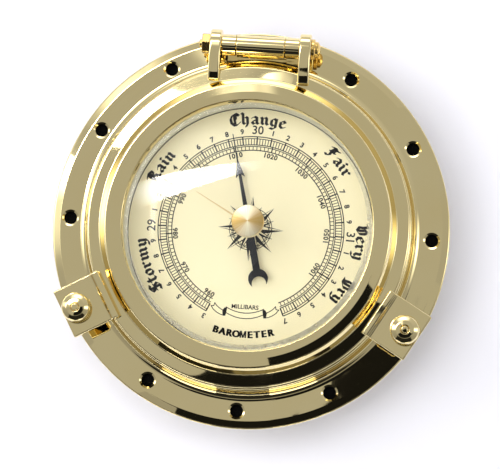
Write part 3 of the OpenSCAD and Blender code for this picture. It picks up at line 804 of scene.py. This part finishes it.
def tick_tree():
    """Geometry Nodes: a row of small bars set radially along an arc."""
    tree = bpy.data.node_groups.new("ticks", "GeometryNodeTree")
    sockets = {}
    for name in ("Count", "Start", "Step", "Radius", "Length", "Width", "Height", "Lift"):
        kind = "NodeSocketInt" if name == "Count" else "NodeSocketFloat"
        sockets[name] = tree.interface.new_socket(name, in_out="INPUT", socket_type=kind)
    tree.interface.new_socket("Geometry", in_out="OUTPUT", socket_type="NodeSocketGeometry")
    new, link = tree.nodes.new, tree.links.new
    given = new("NodeGroupInput")
    result = new("NodeGroupOutput")

    def number(operation, first, second):
        node = new("ShaderNodeMath")
        node.operation = operation
        for socket, value in zip(node.inputs, (first, second)):
            if isinstance(value, (int, float)):
                socket.default_value = value
            elif value is not None:
                link(value, socket)
        return node.outputs[0]

    line = new("GeometryNodeMeshLine")
    link(given.outputs["Count"], line.inputs["Count"])
    index = new("GeometryNodeInputIndex").outputs[0]
    angle = number("ADD", number("MULTIPLY", index, given.outputs["Step"]), given.outputs["Start"])
    place = new("ShaderNodeCombineXYZ")
    link(number("MULTIPLY", number("COSINE", angle, None), given.outputs["Radius"]), place.inputs[0])
    link(number("MULTIPLY", number("SINE", angle, None), given.outputs["Radius"]), place.inputs[2])
    link(given.outputs["Lift"], place.inputs[1])
    put = new("GeometryNodeSetPosition")
    link(line.outputs[0], put.inputs["Geometry"])
    link(place.outputs[0], put.inputs["Position"])
    bar = new("GeometryNodeMeshCube")
    bar_size = new("ShaderNodeCombineXYZ")
    link(given.outputs["Length"], bar_size.inputs[0])
    link(given.outputs["Height"], bar_size.inputs[1])
    link(given.outputs["Width"], bar_size.inputs[2])
    link(bar_size.outputs[0], bar.inputs["Size"])
    turn = new("ShaderNodeCombineXYZ")
    link(number("MULTIPLY", angle, -1), turn.inputs[1])
    copies = new("GeometryNodeInstanceOnPoints")
    link(put.outputs[0], copies.inputs["Points"])
    link(bar.outputs["Mesh"], copies.inputs["Instance"])
    link(turn.outputs[0], copies.inputs["Rotation"])
    real = new("GeometryNodeRealizeInstances")
    link(copies.outputs[0], real.inputs[0])
    paint = new("GeometryNodeSetMaterial")
    paint.inputs["Material"].default_value = MATERIALS["print_ink"]
    link(real.outputs[0], paint.inputs[0])
    link(paint.outputs[0], result.inputs[0])
    return tree, {name: socket.identifier for name, socket in sockets.items()}


TICKS, TICK_SOCKETS = tick_tree()


def ticks(name, count, start, step, radii, width):
    """Printed graduation marks between two radii."""
    low, high = radii
    piece = new_object(name, bpy.data.meshes.new(name))
    made = piece.modifiers.new("ticks", "NODES")
    made.node_group = TICKS
    values = {"Count": count, "Start": math.radians(start), "Step": math.radians(step),
              "Radius": (low + high) / 2 * MM, "Length": (high - low) * MM, "Width": width * MM,
              "Height": (INK_Z[1] - INK_Z[0]) * MM, "Lift": -sum(INK_Z) / 2 * MM}
    for key, value in values.items():
        made[TICK_SOCKETS[key]] = value
    bake(piece)
    return printed(piece)


def printed(piece):
    """Moves a piece onto the print's own centre and fixes it to the case."""
    piece.data.transform(Matrix.Translation(up(*PRINT_AT, 0)))
    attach(piece, "case")
    return piece


def arc_band(bm, radius, width, start, end, steps=180):
    """A printed circle line, or an arc of one."""
    whole = abs(end - start) >= 360
    count = steps if whole else steps + 1
    rows = []
    for r, z in ((radius - width / 2, INK_Z[0]), (radius + width / 2, INK_Z[0]),
                 (radius + width / 2, INK_Z[1]), (radius - width / 2, INK_Z[1])):
        rows.append([bm.verts.new((*polar(r, start + (end - start) * i / steps), z))
                     for i in range(count)])
    for i in range(steps):
        j = (i + 1) % count
        for a in range(4):
            b = (a + 1) % 4
            bm.faces.new((rows[a][i], rows[b][i], rows[b][j], rows[a][j]))
    if not whole:
        for i in (0, -1):
            bm.faces.new([row[i] for row in rows])


def ink(name, bm):
    """Makes a face-up bmesh into a printed piece."""
    stand(bm)
    return printed(to_object(bm, name, "print_ink"))


def make_scale():
    """Circles and marks of both scales."""
    low, high = (inch_angle(INCHES[1]), inch_angle(INCHES[0]))
    foot, short, long = INCH_R
    mb_foot, mb_top = MB_R
    bm = bmesh.new()
    for radius, width in ((long, 0.38), (short, 0.3), (foot, 0.34), (mb_top, 0.3), (mb_foot, 0.38)):
        arc_band(bm, radius, width, low, high)
    ink("scale_lines", bm)
    steps = round((INCHES[1] - INCHES[0]) / INCH_MARK)
    ticks("inch_ticks", steps + 1, low, DEG_PER_INCH * INCH_MARK, (foot, short), 0.28)
    ticks("tenth_ticks", len(TENTHS), low, DEG_PER_INCH * 0.1, (foot, long), 0.5)
    mb_low = math.ceil(MB_AT_TOP - (high - 90) / DEG_PER_MB)
    mb_high = math.floor(MB_AT_TOP + (90 - low) / DEG_PER_MB)
    ticks("millibar_ticks", mb_high - mb_low + 1, mb_angle(mb_high), DEG_PER_MB, MB_R, 0.28)
    ticks("ten_millibar_ticks", len(MILLIBARS), mb_angle(MILLIBARS[-1]),
          DEG_PER_MB * MILLIBARS.step, (mb_foot, foot), 0.45)


def lettering(bm, words, height, radius, degrees, weight=0.0, spread=1.0, upright=False):
    """Adds a label in the plain built-in face, its top outward or, if upright, inward."""
    data = bpy.data.curves.new("label", "FONT")
    data.body = words
    data.size = height / CAP_HEIGHT
    data.align_x = "CENTER"
    data.space_character = spread
    data.offset = weight
    data.extrude = (INK_Z[1] - INK_Z[0]) / 2
    data.resolution_u = 3
    label = new_object("label", data)
    bpy.context.view_layer.update()
    mesh = bpy.data.meshes.new_from_object(label.evaluated_get(bpy.context.evaluated_depsgraph_get()))
    turn = math.radians(degrees - 90 + (180 if upright else 0))
    base = -radius - height / 2 if upright else radius - height / 2
    mesh.transform(Matrix.Rotation(turn, 4, "Z") @ Matrix.Translation((0, base, sum(INK_Z) / 2)))
    bm.from_mesh(mesh)
    bpy.data.objects.remove(label)


def wide_m(bm, height, radius, degrees):
    """A heavy upright M, its top towards the dial's centre."""
    bars = ([(-0.48, 0), (-0.24, 0), (-0.24, 1), (-0.48, 1)],
            [(0.24, 0), (0.48, 0), (0.48, 1), (0.24, 1)],
            [(-0.40, 1), (-0.20, 1), (0.12, 0), (-0.12, 0)],
            [(0.20, 1), (0.40, 1), (0.12, 0), (-0.12, 0)])
    letter = bmesh.new()
    for bar in bars:
        prism(letter, [(x * height, y * height - radius - height / 2) for x, y in bar], *INK_Z)
    letter.transform(spin(degrees - 270))
    absorb(bm, letter)


def make_numbers():
    """Numbers of both scales, the unit's name and the instrument's name."""
    bm = bmesh.new()
    for tenth in TENTHS:
        angle = inch_angle(tenth / 10)
        if tenth % 10 == 0:
            lettering(bm, str(tenth // 10), 3.3, 38.3, angle, 0.06)
        else:
            lettering(bm, str(tenth % 10), 1.95, 37.7, angle, 0.1)
    for millibar in MILLIBARS:
        low_on_dial = millibar <= 980 or millibar >= 1050
        lettering(bm, str(millibar), 1.9, 28.9, mb_angle(millibar), 0.09, 1.08, low_on_dial)
    ink("numbers", bm)
    bm = bmesh.new()
    lettering(bm, "MILLIBARS", 1.65, 29.9, 270, 0.05, 1.0, True)
    ink("millibar_word", bm)
    bm = bmesh.new()
    title = "BAROMETER"
    height, radius, step = 2.6, 40.4, 3.75
    for i, letter in enumerate(title):
        place = 270 + (i - len(title) // 2) * step
        if letter == "M":
            wide_m(bm, height, radius, place)
            continue
        for nudge in (-0.27, 0, 0.27):          # three strikes side by side make it heavy
            lettering(bm, letter, height, radius, place + nudge, 0.08, 1.0, True)
    ink("instrument_word", bm)


NIB_ANGLE = math.radians(38)
NIB = (0.30, 0.07)                  # width and thickness of the pen, in x-heights

# Pen strokes of the old-style letters: the advance in x-heights, then points in hundredths of one
STEM = [(2, 90), (15, 76), (15, 24), (30, 8)]
ARCH = [(15, 72), (46, 94), (60, 78), (60, 24), (75, 8)]
BOWL = [(60, 80), (36, 96), (12, 74), (12, 26), (36, 6), (60, 24)]


LETTERS = {
    "a": (0.95, [[(10, 80), (34, 96), (58, 80), (58, 22), (74, 8)], [(58, 56), (26, 48), (10, 28),
          (30, 6), (58, 26)]]),
    "e": (0.82, [[(62, 20), (36, 5), (12, 26), (12, 74), (36, 95), (58, 74), (18, 46)]]),
    "g": (0.92, [BOWL, [(60, 92), (60, -10), (40, -32), (8, -24)]]),
    "h": (0.95, [[(0, 142), (15, 130), (15, 24), (30, 8)], [(15, 72), (46, 94), (60, 78), (60, 10),
          (46, -24)]]),
    "i": (0.52, [STEM, [(8, 128), (20, 116)]]),
    "m": (1.42, [STEM, ARCH, [(x + 46, y) for x, y in ARCH]]),
    "n": (0.97, [STEM, ARCH]),
    "o": (0.88, [BOWL, [(36, 96), (60, 74), (60, 26), (36, 6)]]),
    "r": (0.76, [STEM, [(15, 70), (42, 94), (56, 80)]]),
    "t": (0.62, [[(15, 122), (15, 24), (34, 6), (48, 18)], [(-4, 90), (44, 90)]]),
    "y": (0.92, [[(2, 90), (15, 76), (15, 28), (36, 6), (58, 24)], [(48, 94), (60, 82), (60, -6),
          (40, -32), (10, -30)]]),
    "C": (1.20, [[(100, 116), (70, 144), (30, 126), (12, 86), (16, 38), (44, 4), (76, 6), (104, 32)],
          [(52, 134), (52, 14)], [(68, 130), (62, 70)]]),
    "D": (1.22, [[(5, 136), (55, 142), (95, 108), (98, 42), (60, 4), (10, 10)], [(30, 136), (22, 84),
          (36, 10)], [(58, 130), (58, 20)]]),
    "F": (1.12, [[(8, 126), (40, 142), (74, 128), (102, 138)], [(40, 136), (30, 90), (40, 36),
          (18, 4), (-4, 14)], [(14, 78), (78, 82)], [(60, 128), (56, 86)]]),
    "R": (1.22, [[(0, 130), (40, 144), (86, 122), (80, 88), (34, 74)], [(34, 138), (26, 90), (36, 34),
          (10, 4)], [(42, 76), (80, 56), (84, 22), (108, 6)], [(54, 130), (54, 84)]]),
    "S": (1.12, [[(92, 124), (58, 144), (20, 124), (26, 94), (72, 66), (88, 32), (56, 4), (8, 18)],
          [(52, 134), (50, 14)], [(16, 70), (86, 80)]]),
    "V": (1.14, [[(0, 130), (20, 142), (26, 90), (20, 34), (54, 4), (88, 34), (90, 100), (70, 140)],
          [(54, 120), (54, 20)]]),
    " ": (0.55, []),
}


def hull(points):
    """The convex outline round some points, anticlockwise."""
    ordered = sorted(set(points))

    def half(points_in_order):
        chain = []
        for p in points_in_order:
            while len(chain) > 1 and ((chain[-1][0] - chain[-2][0]) * (p[1] - chain[-2][1])
                                      - (chain[-1][1] - chain[-2][1]) * (p[0] - chain[-2][0])) <= 1e-9:
                chain.pop()
            chain.append(p)
        return chain[:-1]

    return half(ordered) + half(ordered[::-1])


def pen_stroke(bm, points):
    """Sweeps the broad pen along a stroke; each straight length is one small plate."""
    wide = (NIB[0] / 2 * math.cos(NIB_ANGLE), NIB[0] / 2 * math.sin(NIB_ANGLE))
    thin = (-NIB[1] / 2 * math.sin(NIB_ANGLE), NIB[1] / 2 * math.cos(NIB_ANGLE))
    corners = [(wide[0] * a + thin[0] * b, wide[1] * a + thin[1] * b) for a in (-1, 1) for b in (-1, 1)]
    points = [(x / 100, y / 100) for x, y in points]
    for start, end in zip(points, points[1:]):
        swept = [(round(p[0] + c[0], 5), round(p[1] + c[1], 5)) for p in (start, end) for c in corners]
        prism(bm, hull(swept), 0, 1)


def old_word(word, height, wide, radius, degrees):
    """Writes a word in the old-style letters round the dial, tops outward, centred on an angle."""
    total = sum(LETTERS[letter][0] for letter in word) * wide
    travelled = -total / 2
    bm = bmesh.new()
    for letter in word:
        advance, strokes = LETTERS[letter]
        middle = travelled + advance * wide / 2
        turn = math.radians(degrees - 90) - middle / radius
        glyph = bmesh.new()
        for stroke in strokes:
            pen_stroke(glyph, stroke)
        glyph.transform(Matrix.Rotation(turn, 4, "Z")
                        @ Matrix.Translation((-advance * wide / 2, radius, INK_Z[0]))
                        @ Matrix.Diagonal((wide, height, INK_Z[1] - INK_Z[0], 1)))
        absorb(bm, glyph)
        travelled += advance * wide
    return ink("word_" + word.lower().replace(" ", "_"), bm)


def make_words():
    """The weather words, clockwise from the lower left."""
    base = 40.3                         # radius of the foot of the letters
    for word, angle in (("Stormy", 203), ("Rain", 148.5), ("Change", 90), ("Fair", 40.7),
                        ("Very", -4), ("Dry", -31)):
        old_word(word, 3.2, 3.7, base, angle)


def rose_point(bm, turn, tip, base, width, line):
    """One point of the rose: its right half is inked, its left half is an outline."""
    around = Matrix.Rotation(-math.radians(turn), 2)
    half = [(0, tip), (0, base * 0.4), (width, base)]
    edge = [(0, tip), (-line, tip - 1.5), (-width, base), (-width + 1.6 * line, base + 0.2)]
    for shape in (half, edge):
        prism(bm, [tuple(around @ Vector(point)) for point in shape], *INK_Z)


def make_rose():
    """Compass rose: eight long points, eight short, a lattice of chords and two thin rings."""
    bm = bmesh.new()
    for i in range(8):
        rose_point(bm, i * 45, 12.6 if i % 2 == 0 else 12.0, 5.0, 1.5, 0.3)
        rose_point(bm, i * 45 + 22.5, 9.4, 5.0, 0.85, 0.24)
        chord = [polar(8.0, i * 45 + a) for a in (0, 67.5, 135)]
        ribbon_line(bm, chord, 0.18)
    arc_band(bm, 8.1, 0.26, 0, 360, 96)
    arc_band(bm, 7.2, 0.16, 0, 360, 96)
    ink("compass_rose", bm)


def ribbon_line(bm, points, width):
    """A printed line of even width through some points, with square ends."""
    for (x0, y0), (x1, y1) in zip(points, points[1:]):
        length = math.hypot(x1 - x0, y1 - y0)
        ex, ey = (x1 - x0) / length * width / 2, (y1 - y0) / length * width / 2
        nx, ny = -ey, ex
        prism(bm, [(x0 + nx - ex, y0 + ny - ey), (x0 - nx - ex, y0 - ny - ey),
                   (x1 - nx + ex, y1 - ny + ey), (x1 + nx + ex, y1 + ny + ey)], *INK_Z)


def make_ribbon():
    """A blank ribbon under the scale, folded at both ends."""
    bm = bmesh.new()
    line = 0.32
    fold = 7.2
    for low, rise in ((-32.3, 1.9), (-34.4, 1.9)):
        ribbon_line(bm, [(x * fold, low + rise * x * x) for x in [-1 + i / 10 for i in range(21)]], line)
    for sign in (-1, 1):
        tail = [(7.6, -31.9), (8.6, -31.6), (9.8, -30.9), (10.8, -30.1), (11.6, -29.1), (11.9, -30.2),
                (12.9, -30.3), (12.0, -31.6), (10.7, -32.6), (9.3, -33.3), (7.9, -33.7)]
        ribbon_line(bm, [(sign * x, y) for x, y in tail], line)
        prism(bm, hull([(sign * x, y) for x, y in ((6.7, -30.5), (7.8, -30.7), (8.5, -31.8), (8.3, -33.6),
                                                  (7.3, -33.9), (7.0, -32.5))]), *INK_Z)
    ink("ribbon", bm)


# ---------------- stage


def emitter(name, colour, strength):
    """A light of even strength; a very dark one is a board that only gets mirrored."""
    s = Shader(name)
    return s.surface(s.add("ShaderNodeEmission", None, {"Color": colour, "Strength": strength}).out(0))


def soft_emitter(name, colour, strength, edge):
    """A light that fades out towards its rim; a larger edge is softer."""
    s = Shader(name)
    falloff = s.add("ShaderNodeTexGradient", {"gradient_type": "QUADRATIC_SPHERE"}, {
        "Vector": s.add("ShaderNodeTexCoord").out("Object")}).out("Fac")
    level = (falloff / edge).math("MINIMUM", 1.0)
    glow = s.add("ShaderNodeEmission", None, {"Color": colour, "Strength": strength}).out(0)
    clear = s.add("ShaderNodeBsdfTransparent").out(0)
    return s.surface(s.add("ShaderNodeMixShader", None, {0: level, 1: clear, 2: glow}).out(0))


def board(name, outline, place, material, mirrored, lights):
    """A flat shape off camera that lights the object, is mirrored in it, or both."""
    mesh = bpy.data.meshes.new(name)
    mesh.from_pydata([(x, y, 0) for x, y in outline], [], [tuple(range(len(outline)))])
    mesh.materials.append(material)
    piece = new_object(name, mesh)
    piece.matrix_world = place
    piece.visible_camera = False
    piece.visible_glossy = mirrored
    piece.visible_diffuse = lights


def facing(x, y, z, width, height):
    """Places a unit board at a face-up spot in millimetres, turned towards the dial."""
    look = Vector((x, y, z)).to_track_quat("Z", "Y").to_matrix().to_4x4()
    size = Matrix.Diagonal((width / 2, height / 2, 1, 1))
    return Matrix.Scale(MM, 4) @ FACE_UP @ Matrix.Translation((x, y, z)) @ look @ size


def flat_on(x, y, z, width, height, roll=0.0):
    """Places a unit board square to the dial."""
    size = Matrix.Diagonal((width / 2, height / 2, 1, 1))
    turn = spin(roll)
    return Matrix.Scale(MM, 4) @ FACE_UP @ Matrix.Translation((x, y, z)) @ turn @ size


WALL_R = (0.0536, 2.4)              # metres; the hole in the wall takes the rear case
WALL_GAP = 0.0004
HOLE_BACK_R = HOLE_R + 0.7
HOLE_BACK_Z = -0.3

# outlines of boards: the glare on the glass is a band that thins to the right
SQUARE = [(-1, -1), (1, -1), (1, 1), (-1, 1)]
DISC = [polar(1, a * 10) for a in range(36)]
GLARE = [(-1, -0.62), (-0.45, -0.5), (0.9, -0.12), (0.98, 0.12), (-0.3, 0.32), (-1, 0.36)]


def light_board(name, place, strength, soft=0.0, colour=rgb(1, 1, 1), outline=None, mirrored=True,
                lights=True):
    """A board that shines by itself, round and faded if it is soft."""
    material = soft_emitter(name, colour, strength, soft) if soft else emitter(name, colour, strength)
    board(name, outline or (DISC if soft else SQUARE), place, material, mirrored, lights)


def make_wall():
    """The white surface behind the case. It shows from the front only."""
    s = Shader("white_wall")
    paint = s.front_only(s.principled(Base_Color=rgb(0.91, 0.905, 0.965), Roughness=0.85))
    y = size_at_start[1][1] + WALL_GAP
    count = 48
    spots = [(radius * math.cos(TAU * i / count), y, radius * math.sin(TAU * i / count))
             for radius in WALL_R for i in range(count)]
    faces = [(i, count + i, count + (i + 1) % count, (i + 1) % count) for i in range(count)]
    mesh = bpy.data.meshes.new("wall")
    mesh.from_pydata(spots, [], faces)
    mesh.materials.append(paint)
    new_object("wall", mesh)


def make_hole_backs():
    """Black discs just behind the flange's open holes, so the holes look black from the front."""
    s = Shader("black_behind_holes")
    dark = s.front_only(s.principled(Base_Color=rgb(0.004, 0.004, 0.004), Roughness=1,
                                     Specular_IOR_Level=0))
    bm = bmesh.new()
    for angle in OPEN_HOLES:
        x, y = polar(HOLE_CIRCLE_R, angle)
        bm.faces.new([bm.verts.new((x + HOLE_BACK_R * a, y + HOLE_BACK_R * b, HOLE_BACK_Z)) for a, b in DISC])
    stand(bm)
    mesh = bpy.data.meshes.new("hole_backs")
    bm.to_mesh(mesh)
    bm.free()
    mesh.materials.append(dark)
    new_object("hole_backs", mesh)


def make_world():
    s = Shader("studio", world=True)
    direction = s.add("ShaderNodeTexCoord").out("Generated")
    height = s.add("ShaderNodeSeparateXYZ", None, {0: direction}).out("Z")
    sky = s.mix(height * 0.5 + 0.5, rgb(0.25, 0.25, 0.26), rgb(0.6, 0.6, 0.62))
    background = s.add("ShaderNodeBackground", None, {"Color": sky, "Strength": 1.0})
    s.surface(background.out(0))
    bpy.context.scene.world = s.data


# the dark figure in front of the dial, which the plating mirrors at its lower right, in millimetres
PERSON = [(-34, -80), (8, -42), (11, -20), (20, 2), (46, 20), (56, 12), (73, 43), (98, 24),
          (112, -10), (340, -120), (340, -420), (-20, -420), (-5, -180)]
NEARLY_BLACK = rgb(0.01, 0.01, 0.01)

make_wall()
make_world()
light_board("grey_board", flat_on(-40, 60, 960, 1000, 900), 1.0, colour=rgb(0.47, 0.47, 0.48))
light_board("dark_figure", flat_on(0, 0, 766, 2, 2), 1.0, colour=NEARLY_BLACK, outline=PERSON)
light_board("dark_arm", flat_on(-85, -305, 768, 240, 290), 1.0, colour=NEARLY_BLACK)
light_board("dark_floor", facing(0, -800, 560, 1500, 620), 1.0, colour=rgb(0.02, 0.02, 0.02))
light_board("dark_low", facing(-50, -1150, 215, 420, 260), 1.0, colour=NEARLY_BLACK)
light_board("top_cloud", flat_on(-85, 262, 800, 110, 170), 1.5, 0.5)
light_board("dark_rim", flat_on(455, -150, 770, 110, 190, 20), 1.0, colour=NEARLY_BLACK)
light_board("strip_light", flat_on(-340, 282, 840, 700, 300, 12), 22.0, 0.25, outline=GLARE, lights=False)
light_board("window", flat_on(-505, 170, 850, 60, 520, 4), 6.0, 0.4, lights=False)
light_board("left_halo", flat_on(-330, 460, 860, 640, 330), 2.0, 0.35)
light_board("left_box", facing(-950, 180, 620, 760, 1300), 4.5, 0.6)
light_board("top_box", facing(-150, 1050, 560, 1700, 700), 4.5, 0.6, lights=False)
light_board("right_box", facing(980, 60, 560, 560, 1200), 3.0, 0.6)
light_board("low_box", facing(-100, -1250, 180, 1500, 240), 3.0)
light_board("fill", flat_on(-220, -50, 900, 900, 900), 4.1, mirrored=False)
light_board("low_fill", flat_on(40, -470, 900, 1100, 700), 4.1, mirrored=False)
make_hole_backs()

make_flange()
make_rear_case()
make_dial_parts()
make_lid_ring()
make_glass()
make_glass_edge()
make_seams()
for side in DOG_ANGLES:
    make_arm(side)
    make_ear(side)
    make_thumb(side)
make_hinge_pieces()
make_set_hand()
make_pointer()
make_scale()
make_numbers()
make_words()
make_rose()
make_ribbon()
